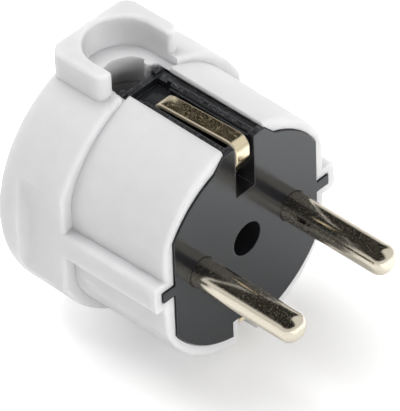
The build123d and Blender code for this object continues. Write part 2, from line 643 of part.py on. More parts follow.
def make_housing_screw():
    """The long screw that draws the carrier into the hood, worked from the front."""
    screw = slotted_screw(
        HOUSING_HEAD_RADIUS, HOUSING_HEAD_HEIGHT, SCREW_RADIUS, HOUSING_SCREW_LENGTH
    )
    return Pos(0, COLUMN_SEAT - WASHER_THICKNESS, 0) * Rot(0, 0, 180) * screw


def make_washer():
    """The washer that keeps the housing screw in the carrier."""
    ring = Circle(WASHER_RADIUS) - Circle(SCREW_RADIUS + THREAD_GAP)
    return across(ring, COLUMN_SEAT - WASHER_THICKNESS, COLUMN_SEAT)


def make_bush():
    """The threaded bush that is moulded into the hood's boss."""
    ring = Circle(BUSH_RADIUS) - Circle(SCREW_RADIUS + THREAD_GAP)
    return across(ring, BUSH_START, BUSH_START + BUSH_LENGTH)


def all_nodes():
    """Every piece of the plug, by name."""
    nodes = {
        "hood": make_hood(),
        "contact_carrier": make_carrier(),
        "earth_strip": make_earth_strip(),
        "earth_terminal": make_earth_terminal(),
        "earth_terminal_screw": terminal_screw(0, PLATE_BACK + EARTH_BLOCK_DEPTH, EARTH_BLOCK_Z),
        "cord_clamp": make_clamp(),
        "housing_screw": make_housing_screw(),
        "housing_screw_washer": make_washer(),
        "threaded_bush": make_bush(),
    }
    for name, side in (("left", -1), ("right", 1)):
        nodes[f"pin_{name}"] = make_pin(side)
        nodes[f"pin_lock_ring_{name}"] = make_lock_ring(side)
        nodes[f"terminal_screw_{name}"] = terminal_screw(side * PIN_X, BLOCK_END)
        nodes[f"cord_clamp_screw_{name}"] = clamp_screw(side)
    return nodes


if __name__ == "__main__":
    os.makedirs("parts", exist_ok=True)
    for node_name, node in all_nodes().items():
        export_step(node, f"parts/{node_name}.step")
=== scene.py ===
import math

import bpy
import numpy as np
from mathutils import Matrix, Vector


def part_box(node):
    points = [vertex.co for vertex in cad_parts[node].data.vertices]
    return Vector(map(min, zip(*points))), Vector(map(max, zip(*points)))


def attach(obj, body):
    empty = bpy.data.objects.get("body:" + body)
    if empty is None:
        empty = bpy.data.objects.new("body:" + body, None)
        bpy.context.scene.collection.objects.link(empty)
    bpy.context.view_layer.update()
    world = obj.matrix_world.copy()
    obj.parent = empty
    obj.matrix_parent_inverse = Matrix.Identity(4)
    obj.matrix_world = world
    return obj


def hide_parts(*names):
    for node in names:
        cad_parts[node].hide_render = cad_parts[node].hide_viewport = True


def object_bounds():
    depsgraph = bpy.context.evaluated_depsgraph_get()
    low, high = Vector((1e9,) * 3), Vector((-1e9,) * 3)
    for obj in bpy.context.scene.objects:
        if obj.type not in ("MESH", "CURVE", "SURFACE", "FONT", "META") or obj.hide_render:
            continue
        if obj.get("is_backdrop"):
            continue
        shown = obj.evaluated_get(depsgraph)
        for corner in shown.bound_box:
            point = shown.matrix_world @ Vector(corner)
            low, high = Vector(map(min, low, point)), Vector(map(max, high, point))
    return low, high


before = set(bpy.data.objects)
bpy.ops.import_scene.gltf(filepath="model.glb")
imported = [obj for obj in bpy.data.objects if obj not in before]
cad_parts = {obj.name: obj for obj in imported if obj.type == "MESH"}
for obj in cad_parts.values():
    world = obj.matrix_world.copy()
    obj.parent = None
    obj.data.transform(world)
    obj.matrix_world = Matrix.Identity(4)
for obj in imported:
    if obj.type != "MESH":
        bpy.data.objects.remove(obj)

bl_info = {
    "name": "Angled plug finish",
    "version": (1, 0, 0),
    "blender": (4, 5, 0),
    "location": "View3D > Sidebar > Plug",
    "description": "Dresses an angled mains plug: plastics, pins, earth strip, screws and stage",
    "category": "Object",
}

BODY = "root"
MM = 0.001

# The photograph's frame, in pixels, and the sensor's long side, in millimetres
FRAME_WIDTH = 400
FRAME_HEIGHT = 411
SENSOR = 36.0

# Points of the strip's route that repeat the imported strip, and bend radii at its middle line
FRONT_LEG_Y = 3.5 * MM
FRONT_LEG_Z = 9.9 * MM
UPPER_FRONT_Z = 17.95 * MM
UPPER_REAR_Z = 17.2 * MM
FOLD_RADIUS = 1.5 * MM
REAR_RADIUS = 1.2 * MM
TOE_RADIUS = 1.0 * MM
TOE_Y = 3.2 * MM
TOE_END_Y = 0.9 * MM
TOE_END_Z = -15.6 * MM

# How far the contact legs run into the bridge plate, and by how much the plate is thinner than
# they are, so that no two faces lie in one plane
LAP = 0.6 * MM
PLATE_RELIEF = 0.04 * MM

# How far each wall of a driver slot leans in at its floor
SLOT_DRAFT = 0.02 * MM

# Each screw: its thread's setting, the height of its head, and which way the head faces along Y
SCREWS = {
    "terminal_screw_left": ("large_radius", 2.0 * MM, 1),
    "terminal_screw_right": ("large_radius", 2.0 * MM, 1),
    "earth_terminal_screw": ("large_radius", 2.0 * MM, 1),
    "housing_screw": ("large_radius", 2.2 * MM, -1),
    "cord_clamp_screw_left": ("small_radius", 1.6 * MM, 1),
    "cord_clamp_screw_right": ("small_radius", 1.6 * MM, 1),
}

# Lamps: name, where each hangs, its width and height in metres, and its power in watts
LAMPS = (
    ("lamp_key", (0.00, 0.22, 0.58), (0.50, 0.50), 4.2),
    ("lamp_fill", (-0.10, -0.46, 0.14), (0.45, 0.20), 1.35),
    ("lamp_side", (-0.45, 0.10, 0.06), (0.40, 0.14), 0.10),
)

# Two faces meet in a sharp edge where they turn by more than this
SHARP_ANGLE = math.radians(32)

# Points of a rounded rim's quarter arc, and rows in which a bent strip's end draws in
RIM_POINTS = 5
END_ROWS = 3

# Threads: points round the rod and rows a pitch, the height that the wave would reach if it were
# not cut flat at 1, and its slope. The plain neck, the run-out and the taper are in pitches.
THREAD_SIDES = 40
THREAD_ROWS = 9
WAVE_CREST = 1.45
WAVE_SLOPE = 4.4
PLAIN_NECK = 0.4
RUN_OUT = 0.6
END_TAPER = 0.5

# Slotted heads: stations between the rim and the slot, points along a chord, and the shortest
# chord as a share of the radius
LAND_STATIONS = 5
CHORD_POINTS = 25
SHORTEST_CHORD = 0.02

# How much wider the slow part of a grain and the patches of a speckle are than their fine part
DRIFT_SPREAD = 18.0
PATCH_SPREAD = 9.0

# Speckle: shares of the fine and the wide noise, the level that bares the surface, how far full
# cover lowers it, and how sharp the spots' rims are
SPOT_SHARE = 0.93
PATCH_SHARE = 0.07
BARE_LEVEL = 0.68
COVER_RANGE = 0.36
SPOT_SHARPNESS = 14.0

# Colours of the specks and the powder, and the heights between which the powder starts to lie
SHELL_SPECK = (0.45, 0.44, 0.42)
INSERT_SPECK = (0.28, 0.28, 0.27)
RIB_POWDER = (0.30, 0.30, 0.31)
POWDER_HEIGHTS = (16.5 * MM, 17.5 * MM)

# The dirt's colour and the roughness of the cut brass and of the zinc-plated pieces
TERMINAL_SHADE = (0.46, 0.36, 0.20)
TERMINAL_ROUGHNESS = 0.26
SCREW_SHADE = (0.30, 0.29, 0.27)
SCREW_ROUGHNESS = 0.3

# Cells along each side of the floor
FLOOR_CELLS = 32

# Light that the floor gives off: its levels, and the places between which each part comes or goes.
# It is painted light: the camera sees the floor darker round the plug's front, a painted shadow, and
# lighter behind and ahead of it, and the patch glows for all rays so that the dark face mirrors it,
# a painted reflection. Behind and ahead are along Y, and the patch is measured by X less Y.
GLOW_LEVEL = 0.22
PAINTED_LIGHT_BEHIND = 0.35
BEHIND_START = (10 * MM, 30 * MM)
PAINTED_LIGHT_AHEAD = 0.20
AHEAD_END = (-40 * MM, -10 * MM)
PAINTED_REFLECTION_LIGHT = 0.55
PATCH_START = (35 * MM, 75 * MM)
PATCH_END = (100 * MM, 160 * MM)

# The room round the lamps is dim, with a light tent in front and a light horizon. Each comes or
# goes between two values of the direction's X, Y or Z.
ROOM_DIM = (0.026, 0.025, 0.023)
ROOM_LIGHT = (0.80, 0.79, 0.77)
TENT_FRONT = (-0.2, 0.08)
TENT_SIDE = (-0.05, 0.25)
HORIZON_TOP = (0.22, 0.45)


# Settings that a user would change

class PlasticSettings(bpy.types.PropertyGroup):
    """Colours and gloss of the white shell and the dark insert."""

    shell_colour: bpy.props.FloatVectorProperty(
        name="Shell colour", description="Colour of the hood and the cord clamp",
        subtype="COLOR", size=3, min=0, max=1, default=(0.665, 0.665, 0.675))
    shell_roughness: bpy.props.FloatProperty(
        name="Shell roughness", description="How matt the white hood is",
        subtype="FACTOR", min=0, max=1, default=0.33)
    shell_depth: bpy.props.FloatProperty(
        name="Light depth", description="How far light wanders inside the white plastic",
        unit="LENGTH", min=0, max=0.01, precision=5, default=0.0026)
    insert_colour: bpy.props.FloatVectorProperty(
        name="Insert colour", description="Colour of the contact carrier",
        subtype="COLOR", size=3, min=0, max=1, default=(0.015, 0.0155, 0.0175))
    insert_roughness: bpy.props.FloatProperty(
        name="Insert roughness", description="How matt the dark plastic is",
        subtype="FACTOR", min=0, max=1, default=0.15)
    edge_radius: bpy.props.FloatProperty(
        name="Moulded edge", description="Radius that a mould leaves on the dark insert's edges",
        unit="LENGTH", min=0, max=0.001, precision=5, default=0.0002)


class MetalSettings(bpy.types.PropertyGroup):
    """Colours of the plated pins, the brass and the screws."""

    pin_colour: bpy.props.FloatVectorProperty(
        name="Pin colour", description="Nickel plating of the pins, warmed by the brass",
        subtype="COLOR", size=3, min=0, max=1, default=(0.74, 0.685, 0.575))
    pin_shade: bpy.props.FloatVectorProperty(
        name="Pin shade", description="Dull spots of the plating",
        subtype="COLOR", size=3, min=0, max=1, default=(0.62, 0.54, 0.38))
    strip_colour: bpy.props.FloatVectorProperty(
        name="Strip colour", description="Rolled brass of the earth strip",
        subtype="COLOR", size=3, min=0, max=1, default=(0.84, 0.74, 0.55))
    strip_shade: bpy.props.FloatVectorProperty(
        name="Strip shade", description="Dull spots on the strip's faces",
        subtype="COLOR", size=3, min=0, max=1, default=(0.66, 0.50, 0.26))
    terminal_colour: bpy.props.FloatVectorProperty(
        name="Terminal colour", description="Cut brass of the terminal block and the bush",
        subtype="COLOR", size=3, min=0, max=1, default=(0.80, 0.63, 0.34))
    screw_colour: bpy.props.FloatVectorProperty(
        name="Screw colour", description="Zinc plating of the screws, washer and rings",
        subtype="COLOR", size=3, min=0, max=1, default=(0.60, 0.61, 0.62))


class StripSettings(bpy.types.PropertyGroup):
    """Sizes of the bent earth strip. Y runs back into the plug and Z up."""

    thickness: bpy.props.FloatProperty(
        name="Thickness", description="Thickness of the rolled strip",
        unit="LENGTH", min=0, precision=5, default=0.8 * MM)
    half_width: bpy.props.FloatProperty(
        name="Half width", description="Half the width of the contact legs",
        unit="LENGTH", min=0, precision=5, default=1.42 * MM)
    edge_radius: bpy.props.FloatProperty(
        name="Edge radius", description="Rounding of the strip's edges",
        unit="LENGTH", min=0, precision=5, default=0.26 * MM)
    front_y: bpy.props.FloatProperty(
        name="Fold", description="Depth of the folded front leg's middle line",
        unit="LENGTH", precision=5, default=0.6 * MM)
    plate_y: bpy.props.FloatProperty(
        name="Bridge", description="Depth of the bridge's middle plane",
        unit="LENGTH", precision=5, default=16.0 * MM)
    hole_radius: bpy.props.FloatProperty(
        name="Screw hole", description="Radius of the hole for the housing screw",
        unit="LENGTH", min=0, precision=5, default=1.95 * MM)
    bridge_half: bpy.props.FloatProperty(
        name="Bridge half width", description="Half the width of the bridge plate",
        unit="LENGTH", min=0, precision=5, default=3.9 * MM)
    bridge_top: bpy.props.FloatProperty(
        name="Bridge top", description="Height of the bridge plate's upper edge",
        unit="LENGTH", precision=5, default=11.6 * MM)
    bridge_foot: bpy.props.FloatProperty(
        name="Bridge foot", description="Height of the bridge plate's lower edge",
        unit="LENGTH", precision=5, default=-5.2 * MM)
    bridge_corner: bpy.props.FloatProperty(
        name="Bridge corner", description="Corner radius of the bridge plate",
        unit="LENGTH", min=0, precision=5, default=1.2 * MM)


class ScrewSettings(bpy.types.PropertyGroup):
    """Sizes of the slotted screws. Lengths and heads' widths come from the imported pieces."""

    large_radius: bpy.props.FloatProperty(
        name="Terminal thread", description="Outer radius of the terminal and housing screws",
        unit="LENGTH", min=0, precision=5, default=1.75 * MM)
    small_radius: bpy.props.FloatProperty(
        name="Clamp thread", description="Outer radius of the cord clamp's screws",
        unit="LENGTH", min=0, precision=5, default=1.4 * MM)
    pitch: bpy.props.FloatProperty(
        name="Pitch", description="Distance from one thread to the next",
        unit="LENGTH", min=0.0001, precision=5, default=0.6 * MM)
    thread_depth: bpy.props.FloatProperty(
        name="Thread depth", description="Height of the thread over its core",
        unit="LENGTH", min=0, precision=5, default=0.3 * MM)
    slot_width: bpy.props.FloatProperty(
        name="Slot width", description="Width of the driver slot",
        unit="LENGTH", min=0, precision=5, default=0.8 * MM)
    slot_depth: bpy.props.FloatProperty(
        name="Slot depth", description="Depth of the driver slot",
        unit="LENGTH", min=0, precision=5, default=1.0 * MM)
    head_edge: bpy.props.FloatProperty(
        name="Head edge", description="Rounding of the head's rim",
        unit="LENGTH", min=0, precision=5, default=0.25 * MM)


class StageSettings(bpy.types.PropertyGroup):
    """Floor, lamps and camera."""

    floor_colour: bpy.props.FloatVectorProperty(
        name="Floor colour", description="Colour of the floor",
        subtype="COLOR", size=3, min=0, max=1, default=(0.93, 0.93, 0.93))
    floor_reach: bpy.props.FloatProperty(
        name="Floor reach", description="Half the floor's width",
        unit="LENGTH", min=0.1, default=3.0)
    # The floor's glow is painted light: a painted shadow round the plug's front and a patch that the
    # dark face mirrors
    floor_painted_light: bpy.props.FloatProperty(
        name="Floor glow", description="Light that the floor gives off, as a light table does",
        min=0, default=1.0)
    azimuth: bpy.props.FloatProperty(
        name="Azimuth", description="Where the camera stands round the plug",
        subtype="ANGLE", default=math.radians(-45.26))
    elevation: bpy.props.FloatProperty(
        name="Elevation", description="How far the camera looks down",
        subtype="ANGLE", default=math.radians(41.52))
    roll: bpy.props.FloatProperty(
        name="Roll", description="How far the camera is turned about its own axis",
        subtype="ANGLE", default=math.radians(-2.11))
    distance: bpy.props.FloatProperty(
        name="Distance", description="From the camera to the middle of the dark face",
        unit="LENGTH", default=0.8416)
    focal_px: bpy.props.FloatProperty(
        name="Focal length", description="Focal length in pixels of the frame",
        min=1, default=5866)
    face_px: bpy.props.FloatVectorProperty(
        name="Face centre", description="Where the middle of the dark face lies in the frame, in pixels",
        size=2, default=(247.1, 238.6))


# Node trees

def fill(tree, node, inputs):
    """Links a node's inputs to sockets, or sets them to values."""
    for key, value in inputs.items():
        if isinstance(value, bpy.types.NodeSocket):
            tree.links.new(value, node.inputs[key])
        else:
            node.inputs[key].default_value = value


def add(tree, kind, inputs=None, **settings):
    """A node with its settings, its inputs linked to sockets or set to values."""
    made = tree.nodes.new(kind)
    for key, value in settings.items():
        setattr(made, key, value)
    fill(tree, made, inputs or {})
    return made


def new_group(name, inputs, outputs):
    """An empty shader node group with named sockets: (name, kind, default) and (name, kind)."""
    tree = bpy.data.node_groups.new(name, "ShaderNodeTree")
    for title, kind, default in inputs:
        socket = tree.interface.new_socket(title, in_out="INPUT", socket_type=kind)
        if default is not None:
            socket.default_value = default
    for title, kind in outputs:
        tree.interface.new_socket(title, in_out="OUTPUT", socket_type=kind)
    return tree, tree.nodes.new("NodeGroupInput").outputs, tree.nodes.new("NodeGroupOutput").inputs


def maths(tree, operation, first, second=0.0, clamp=False):
    """The result of one sum on two sockets or numbers."""
    made = add(tree, "ShaderNodeMath", {0: first, 1: second}, operation=operation, use_clamp=clamp)
    return made.outputs[0]


def plus(tree, first, second):
    """Two values added."""
    return maths(tree, "ADD", first, second)


def times(tree, first, second):
    """Two values multiplied."""
    return maths(tree, "MULTIPLY", first, second)


def opposite(tree, mask):
    """What a mask leaves over: 1 where it is 0, and 0 where it is 1."""
    return maths(tree, "SUBTRACT", 1.0, mask)


def ramp(tree, value, low, high):
    """A value carried smoothly from 0 at low to 1 at high."""
    return add(tree, "ShaderNodeMapRange", {"Value": value, "From Min": low, "From Max": high},
               interpolation_type="SMOOTHSTEP").outputs["Result"]


def vector_maths(tree, operation, first, second):
    """The outputs of one sum on two vectors."""
    return add(tree, "ShaderNodeVectorMath", {0: first, 1: second}, operation=operation).outputs


def split(tree, vector):
    """The X, Y and Z of a vector."""
    return add(tree, "ShaderNodeSeparateXYZ", {"Vector": vector}).outputs


def object_place(tree):
    """Where a point lies in its object's own coordinates."""
    return add(tree, "ShaderNodeTexCoord").outputs["Object"]


def surface_normal(tree):
    """The direction that the surface faces."""
    return add(tree, "ShaderNodeNewGeometry").outputs["Normal"]


def noise(tree, place, scale, detail, roughness=0.5):
    """Cloudy noise at a place, with about that many bumps a metre."""
    inputs = {"Vector": place, "Scale": scale, "Detail": detail, "Roughness": roughness}
    return add(tree, "ShaderNodeTexNoise", inputs).outputs["Fac"]


def blend_colour(tree, mask, first, second):
    """First colour where the mask is 0, second where it is 1."""
    made = tree.nodes.new("ShaderNodeMix")
    made.data_type = "RGBA"
    for socket, value in (("Factor_Float", mask), ("A_Color", first), ("B_Color", second)):
        target = next(s for s in made.inputs if s.identifier == socket)
        if isinstance(value, bpy.types.NodeSocket):
            tree.links.new(value, target)
        else:
            target.default_value = value
    return next(s for s in made.outputs if s.identifier == "Result_Color")


def grain_group():
    """Fine uneven grain that a mould or a roller leaves: a height and a slow variation."""
    tree, given, out = new_group(
        "fine_grain",
        [("Size", "NodeSocketFloat", 0.3 * MM), ("Stretch", "NodeSocketVector", (1, 1, 1))],
        [("Height", "NodeSocketFloat"), ("Drift", "NodeSocketFloat")])
    place = vector_maths(tree, "MULTIPLY", object_place(tree), given["Stretch"])["Vector"]
    density = maths(tree, "DIVIDE", 1.0, given["Size"])
    slow = maths(tree, "DIVIDE", density, DRIFT_SPREAD)
    tree.links.new(noise(tree, place, density, 3.0, 0.6), out["Height"])
    tree.links.new(noise(tree, place, slow, 2.0), out["Drift"])
    return tree


def speckle_group():
    """Small irregular spots, as tarnish or dirt in the pores of a plating.

    A fine noise with a little of a wide one is measured against a level, which the cover lowers.
    """
    tree, given, out = new_group(
        "speckle",
        [("Size", "NodeSocketFloat", 0.2 * MM), ("Cover", "NodeSocketFloat", 0.4)],
        [("Mask", "NodeSocketFloat"), ("Height", "NodeSocketFloat")])
    place = object_place(tree)
    density = maths(tree, "DIVIDE", 1.0, given["Size"])
    spots = noise(tree, place, density, 3.0, 0.65)
    patches = noise(tree, place, maths(tree, "DIVIDE", density, PATCH_SPREAD), 2.0)
    mixed = plus(tree, times(tree, spots, SPOT_SHARE), times(tree, patches, PATCH_SHARE))
    level = maths(tree, "SUBTRACT", BARE_LEVEL, times(tree, given["Cover"], COVER_RANGE))
    above = maths(tree, "SUBTRACT", mixed, level)
    tree.links.new(maths(tree, "MULTIPLY", above, SPOT_SHARPNESS, clamp=True), out["Mask"])
    tree.links.new(spots, out["Height"])
    return tree


def edge_group():
    """Edges rounded by a small radius: a normal, and a mask that is 1 where an edge turns."""
    tree, given, out = new_group(
        "soft_edge", [("Radius", "NodeSocketFloat", 0.2 * MM)],
        [("Normal", "NodeSocketVector"), ("Mask", "NodeSocketFloat")])
    rounded = add(tree, "ShaderNodeBevel", {"Radius": given["Radius"]}, samples=8).outputs["Normal"]
    along = vector_maths(tree, "DOT_PRODUCT", rounded, surface_normal(tree))["Value"]
    tree.links.new(rounded, out["Normal"])
    tree.links.new(ramp(tree, opposite(tree, along), 0.02, 0.3), out["Mask"])
    return tree


def dust_group():
    """Sparse small motes that lie on a surface."""
    tree, given, out = new_group(
        "dust", [("Spacing", "NodeSocketFloat", 1.6 * MM), ("Size", "NodeSocketFloat", 0.05)],
        [("Mask", "NodeSocketFloat")])
    density = maths(tree, "DIVIDE", 1.0, given["Spacing"])
    cells = add(tree, "ShaderNodeTexVoronoi", {"Vector": object_place(tree), "Scale": density})
    chance = add(tree, "ShaderNodeSeparateColor", {"Color": cells.outputs["Color"]}).outputs["Red"]
    size = times(tree, given["Size"], chance)
    tree.links.new(maths(tree, "LESS_THAN", cells.outputs["Distance"], size), out["Mask"])
    return tree


GROUP_MAKERS = {
    "fine_grain": grain_group,
    "speckle": speckle_group,
    "soft_edge": edge_group,
    "dust": dust_group,
}


def place_group(tree, name, **inputs):
    """A shared effect placed in a material with its own values; it is built the first time."""
    effect = bpy.data.node_groups.get(name) or GROUP_MAKERS[name]()
    return add(tree, "ShaderNodeGroup", inputs, node_tree=effect).outputs


def start_material(name):
    """A material with a Principled shader, and its tree."""
    material = bpy.data.materials.new(name)
    material.use_nodes = True
    tree = material.node_tree
    shader = next(n for n in tree.nodes if n.type == "BSDF_PRINCIPLED")
    return material, tree, shader


def rgba(colour, gain=1.0):
    """A colour property as four numbers, made lighter or darker by a gain."""
    return (*(min(1.0, c * gain) for c in colour), 1.0)


def bumped(tree, shader, height, distance, strength, normal=None):
    """Links a height to the shader's normal through a bump of that distance."""
    inputs = {"Height": height, "Distance": distance, "Strength": strength}
    if normal is not None:
        inputs["Normal"] = normal
    bump = add(tree, "ShaderNodeBump", inputs)
    tree.links.new(bump.outputs["Normal"], shader.inputs["Normal"])


def shell_material(settings):
    """White moulded plastic: a satin skin with a very fine grain and a slow change of gloss."""
    material, tree, shader = start_material("hood_white")
    grain = place_group(tree, "fine_grain", Size=0.16 * MM)
    edge = place_group(tree, "soft_edge", Radius=0.18 * MM)
    dust = place_group(tree, "dust", Spacing=3.1 * MM, Size=0.055)
    darker, lighter = rgba(settings.shell_colour, 0.985), rgba(settings.shell_colour, 1.01)
    plain = blend_colour(tree, ramp(tree, grain["Drift"], 0.3, 0.7), darker, lighter)
    low = settings.shell_roughness - 0.03
    fill(tree, shader, {
        "Base Color": blend_colour(tree, times(tree, dust["Mask"], 0.35), plain, rgba(SHELL_SPECK)),
        "Roughness": plus(tree, low, times(tree, grain["Drift"], 0.07)),
        "IOR": 1.5,
        "Subsurface Weight": 0.75,
        "Subsurface Radius": (1.0, 1.0, 1.0),
        "Subsurface Scale": settings.shell_depth,
    })
    bumped(tree, shader, grain["Height"], 0.004 * MM, 0.5, edge["Normal"])
    return material


def insert_material(settings):
    """Dark moulded plastic: glossy, lighter at its softened edges as partly wear and partly a painted
    highlight, with a few motes.

    A little powder lies on the highest faces that look up.
    """
    material, tree, shader = start_material("carrier_dark")
    grain = place_group(tree, "fine_grain", Size=0.2 * MM)
    edge = place_group(tree, "soft_edge", Radius=settings.edge_radius)
    dust = place_group(tree, "dust", Spacing=1.9 * MM, Size=0.06)
    powder = place_group(tree, "speckle", Size=0.13 * MM, Cover=0.34)
    # Lighter edges: partly edge wear and partly a painted highlight
    painted_highlight = times(tree, edge["Mask"], ramp(tree, grain["Height"], 0.38, 0.62))
    plain, highlight_colour = rgba(settings.insert_colour), rgba(settings.insert_colour, 11.0)
    colour = blend_colour(tree, painted_highlight, plain, highlight_colour)
    colour = blend_colour(tree, times(tree, dust["Mask"], 0.3), colour, rgba(INSERT_SPECK))
    upward = ramp(tree, split(tree, surface_normal(tree))["Z"], 0.35, 0.95)
    high = ramp(tree, split(tree, object_place(tree))["Z"], *POWDER_HEIGHTS)
    settled = times(tree, powder["Mask"], times(tree, upward, high))
    rough = plus(tree, settings.insert_roughness - 0.05, times(tree, grain["Drift"], 0.1))
    fill(tree, shader, {
        "Base Color": blend_colour(tree, times(tree, settled, 0.6), colour, rgba(RIB_POWDER)),
        "Roughness": plus(tree, rough, times(tree, dust["Mask"], 0.3)),
        "IOR": 1.52,
        "Specular Tint": (0.93, 0.97, 1.0, 1.0),
    })
    bumped(tree, shader, grain["Height"], 0.005 * MM, 0.6, edge["Normal"])
    return material


def pin_material(settings):
    """Nickel plating over brass: bright, with fine pores and faint rubbing marks along the pin."""
    material, tree, shader = start_material("pin_plating")
    spots = place_group(tree, "speckle", Size=0.13 * MM, Cover=0.27)
    marks = place_group(tree, "fine_grain", Size=0.12 * MM, Stretch=(1.0, 0.06, 1.0))
    bright, shade = rgba(settings.pin_colour), rgba(settings.pin_shade)
    rough = plus(tree, 0.07, times(tree, spots["Mask"], 0.30))
    fill(tree, shader, {
        "Base Color": blend_colour(tree, spots["Mask"], bright, shade),
        "Metallic": opposite(tree, times(tree, spots["Mask"], 0.36)),
        "Roughness": plus(tree, rough, times(tree, marks["Height"], 0.05)),
    })
    bumped(tree, shader, spots["Height"], 0.012 * MM, 0.6)
    return material


def strip_material(settings):
    """Rolled brass: pale and less metallic on its sides and faces towards the rear, a painted highlight
    chosen by the way each face turns, and pored elsewhere.
    """
    material, tree, shader = start_material("strip_brass")
    spots = place_group(tree, "speckle", Size=0.14 * MM, Cover=0.31)
    # Painted highlight: faces that turn sideways or towards the rear are made paler and less metallic
    turn = split(tree, surface_normal(tree))
    side = maths(tree, "MAXIMUM", maths(tree, "ABSOLUTE", turn["X"]), turn["Y"])
    painted_highlight = ramp(tree, side, 0.12, 0.5)
    shaded = times(tree, spots["Mask"], opposite(tree, painted_highlight))
    dull = plus(tree, times(tree, shaded, 0.6), times(tree, painted_highlight, 0.6))
    bright, shade = rgba(settings.strip_colour), rgba(settings.strip_shade)
    fill(tree, shader, {
        "Base Color": blend_colour(tree, shaded, bright, shade),
        "Metallic": opposite(tree, dull),
        "Roughness": plus(tree, 0.10, times(tree, shaded, 0.36)),
    })
    bumped(tree, shader, spots["Height"], 0.014 * MM, 0.6)
    return material


def turned_material(name, colour, shade, roughness):
    """Cut or turned metal with fine tool lines and a little dirt."""
    material, tree, shader = start_material(name)
    lines = place_group(tree, "fine_grain", Size=0.1 * MM, Stretch=(0.25, 1.0, 0.25))
    spots = place_group(tree, "speckle", Size=0.4 * MM, Cover=0.3)
    edge = place_group(tree, "soft_edge", Radius=0.12 * MM)
    dirt = times(tree, spots["Mask"], 0.5)
    fill(tree, shader, {
        "Base Color": blend_colour(tree, dirt, rgba(colour), rgba(shade)),
        "Metallic": 1.0,
        "Roughness": plus(tree, roughness, times(tree, spots["Mask"], 0.12)),
    })
    bumped(tree, shader, lines["Height"], 0.008 * MM, 0.6, edge["Normal"])
    return material


def dress(piece, material):
    """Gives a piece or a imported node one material."""
    piece.data.materials.clear()
    piece.data.materials.append(material)


def dress_nodes(names, material):
    """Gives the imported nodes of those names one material."""
    for name in names:
        dress(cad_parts[name], material)


# Surfaces

def mesh_piece(name, shells, material, replaced):
    """A mesh object from closed shells of (points, quads, triangles), placed on the body."""
    starts = np.cumsum([0] + [len(points) for points, _, _ in shells])
    points = np.concatenate([points for points, _, _ in shells])
    faces = []
    for (_, quads, triangles), start in zip(shells, starts):
        faces += (quads + start).tolist() + (triangles + start).tolist()
    mesh = bpy.data.meshes.new(name)
    mesh.from_pydata(points.tolist(), [], faces)
    mesh.validate()
    mesh.shade_smooth()
    mesh.set_sharp_from_angle(angle=SHARP_ANGLE)
    mesh.update()
    piece = bpy.data.objects.new(name, mesh)
    bpy.context.scene.collection.objects.link(piece)
    dress(piece, material)
    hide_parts(*replaced)
    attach(piece, BODY)
    return piece


def grid_quads(rows, columns, closed_rows=False):
    """Quads between the points of a grid whose columns close on themselves."""
    row = np.arange(rows if closed_rows else rows - 1)[:, None]
    column = np.arange(columns)[None, :]
    right = (column + 1) % columns
    above = (row + 1) % rows
    quads = np.stack([row * columns + column, row * columns + right,
                      above * columns + right, above * columns + column], axis=-1)
    return quads.reshape(-1, 4)


def outward(points, quads, triangles):
    """A closed shell with its faces turned outwards.

    The signed volume is a sixth of the sum of a . (b x c) over all triangles, each quad as two.
    """
    fans = np.concatenate([quads[:, :3], quads[:, [0, 2, 3]], triangles])
    a, b, c = points[fans].transpose(1, 0, 2)
    if (a * np.cross(b, c)).sum() > 0:
        return points, quads, triangles
    return points, quads[:, ::-1], triangles[:, ::-1]


def capped_tube(rings):
    """A closed shell from rings of points: a quad grid, with a pole in the middle of each end ring."""
    rows, columns = rings.shape[:2]
    points = np.concatenate([rings.reshape(-1, 3), rings[[0, -1]].mean(axis=1)])
    near = np.arange(columns)
    following = (near + 1) % columns
    last = (rows - 1) * columns
    pole = np.full(columns, rows * columns)
    caps = np.concatenate([np.stack([following, near, pole], axis=1),
                           np.stack([last + near, last + following, pole + 1], axis=1)])
    return outward(points, grid_quads(rows, columns), caps)


def rounded_rectangle(half_width, half_height, radius, corner_steps=6, side_steps=2):
    """Points round a rectangle: four quarter arcs of the radius, joined by straight sides."""
    turn = np.linspace(0, math.pi / 2, corner_steps + 1)
    corners = [(half_width, half_height, 0), (-half_width, half_height, 1),
               (-half_width, -half_height, 2), (half_width, -half_height, 3)]
    rounded = []
    for x, y, quarter in corners:
        centre = np.array([math.copysign(abs(x) - radius, x), math.copysign(abs(y) - radius, y)])
        angle = turn + quarter * math.pi / 2
        rounded.append(centre + radius * np.stack([np.cos(angle), np.sin(angle)], axis=1))
    outline = []
    for quarter in range(4):
        arc, following = rounded[quarter], rounded[(quarter + 1) % 4]
        share = np.linspace(0, 1, side_steps + 1)[1:-1, None]
        outline += [arc, arc[-1] + (following[0] - arc[-1]) * share]
    return np.concatenate(outline)


def straight_run(start, end, step):
    """Points about a step apart from start to end, without the first."""
    share = np.linspace(0, 1, max(2, int(np.linalg.norm(end - start) / step)))[1:, None]
    return start + (end - start) * share


